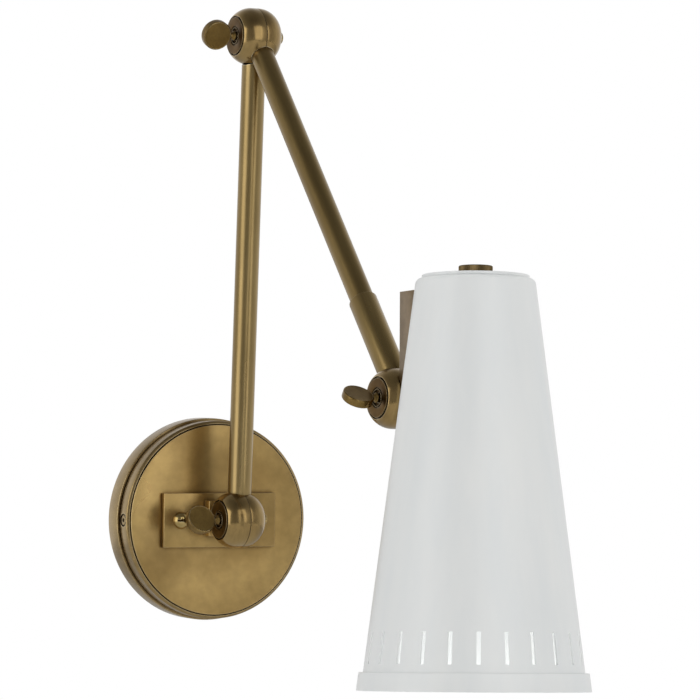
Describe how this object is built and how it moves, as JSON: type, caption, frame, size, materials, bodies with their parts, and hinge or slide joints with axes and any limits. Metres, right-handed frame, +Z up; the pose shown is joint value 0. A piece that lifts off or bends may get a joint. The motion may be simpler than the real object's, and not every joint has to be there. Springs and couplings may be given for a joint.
{
  "type": "swing arm wall sconce",
  "caption": "Wall sconce with a round plate, jointed brass arms with thumb screw knuckles, a swivel sleeve and a tapered slotted metal shade.",
  "frame": {"origin": "centre of the wall ring's rear face, in the wall plane", "axes": "+Y into the wall, +Z up, +X to the right as seen from the room; the arms fold in the YZ plane"},
  "size_m": [0.1244, 0.3973, 0.383],
  "materials": {
    "aged_brass": "hand-rubbed antique, satin",
    "bright_brass": "satin, lightly worn",
    "plated_brass": "plain",
    "enamel": "satin white enamel",
    "steel": "zinc plated",
    "fibre": "matt",
    "porcelain": "glazed",
    "lead": "sleeved lead",
    "bulb_glass": "opal"
  },
  "bodies": {
    "wall_plate": {"mounting_bar": "steel", "wall_ring": "aged_brass", "canopy_drum": "aged_brass", "canopy_screws": "aged_brass", "face_disc": "aged_brass", "bracket_plate": "aged_brass", "bracket_screws": "bright_brass", "bracket_nuts": "steel", "wall_lug": "aged_brass", "wall_lug_nut": "steel"},
    "lower_arm": {"wall_knuckle_left": "aged_brass", "wall_knuckle_right": "aged_brass", "wall_knuckle_cap": "aged_brass", "wall_knuckle_washers": "fibre", "wall_knuckle_nut": "bright_brass", "lower_tube": "aged_brass", "lower_tube_plug": "aged_brass", "lower_lead": "lead", "elbow_tang": "aged_brass"},
    "wall_thumb": {"wall_thumb_screw": "aged_brass"},
    "upper_arm": {"elbow_knuckle_left": "aged_brass", "elbow_knuckle_right": "aged_brass", "elbow_knuckle_cap": "aged_brass", "elbow_knuckle_washers": "fibre", "elbow_knuckle_nut": "bright_brass", "upper_tube": "aged_brass", "upper_tube_plug": "aged_brass", "upper_lead": "lead", "swivel_spindle": "aged_brass", "swivel_nut": "steel"},
    "elbow_thumb": {"elbow_thumb_screw": "aged_brass"},
    "swivel": {"swivel_sleeve": "aged_brass", "swivel_bush": "fibre", "shade_knuckle_left": "aged_brass", "shade_knuckle_right": "aged_brass", "shade_knuckle_cap": "aged_brass", "shade_knuckle_washers": "fibre", "shade_knuckle_nut": "bright_brass"},
    "shade_thumb": {"shade_thumb_screw": "aged_brass"},
    "head": {"shade_lug": "aged_brass", "shade_lug_nut": "steel", "shade_bracket": "aged_brass", "shade_bracket_screws": "steel", "shade_cone": "enamel", "rim_band": "enamel", "top_cap": "enamel", "switch_body": "fibre", "switch_nut": "steel", "socket_stem": "steel", "socket_shell": "porcelain", "socket_liner": "plated_brass", "socket_contact": "plated_brass", "socket_lead": "lead", "bulb_glass": "bulb_glass", "bulb_cap": "plated_brass"},
    "knob": {"switch_knob": "bright_brass"}
  },
  "joints": [
    {"name": "wall_pivot", "type": "hinge", "parent": "wall_plate", "child": "lower_arm", "pos_m": [0, -0.0522, 0.0013], "axis": [1, 0, 0], "range_deg": [-5, 75]},
    {"name": "wall_thumb_turn", "type": "hinge", "parent": "lower_arm", "child": "wall_thumb", "pos_m": [0, -0.0522, 0.0013], "axis": [1, 0, 0], "range_deg": [0, 180]},
    {"name": "elbow_pivot", "type": "hinge", "parent": "lower_arm", "child": "upper_arm", "pos_m": [0, -0.06409, 0.28505], "axis": [1, 0, 0], "range_deg": [-130, 0]},
    {"name": "elbow_thumb_turn", "type": "hinge", "parent": "upper_arm", "child": "elbow_thumb", "pos_m": [0, -0.06409, 0.28505], "axis": [1, 0, 0], "range_deg": [0, 180]},
    {"name": "head_swivel", "type": "hinge", "parent": "upper_arm", "child": "swivel", "pos_m": [0, -0.25036, 0.07599], "axis": [0, 0.6652, 0.7466], "range_deg": [-90, 90]},
    {"name": "shade_thumb_turn", "type": "hinge", "parent": "swivel", "child": "shade_thumb", "pos_m": [0, -0.25036, 0.07599], "axis": [0.9989, 0.0352, -0.0313], "range_deg": [0, 180]},
    {"name": "shade_tilt", "type": "hinge", "parent": "swivel", "child": "head", "pos_m": [0, -0.25036, 0.07599], "axis": [0.9989, 0.0352, -0.0313], "range_deg": [-40, 60]},
    {"name": "switch_knob_turn", "type": "hinge", "parent": "head", "child": "knob", "pos_m": [0.00449, -0.31991, 0.14094], "axis": [0.0288, 0.0703, 0.9971], "range_deg": [0, 270]}
  ]
}
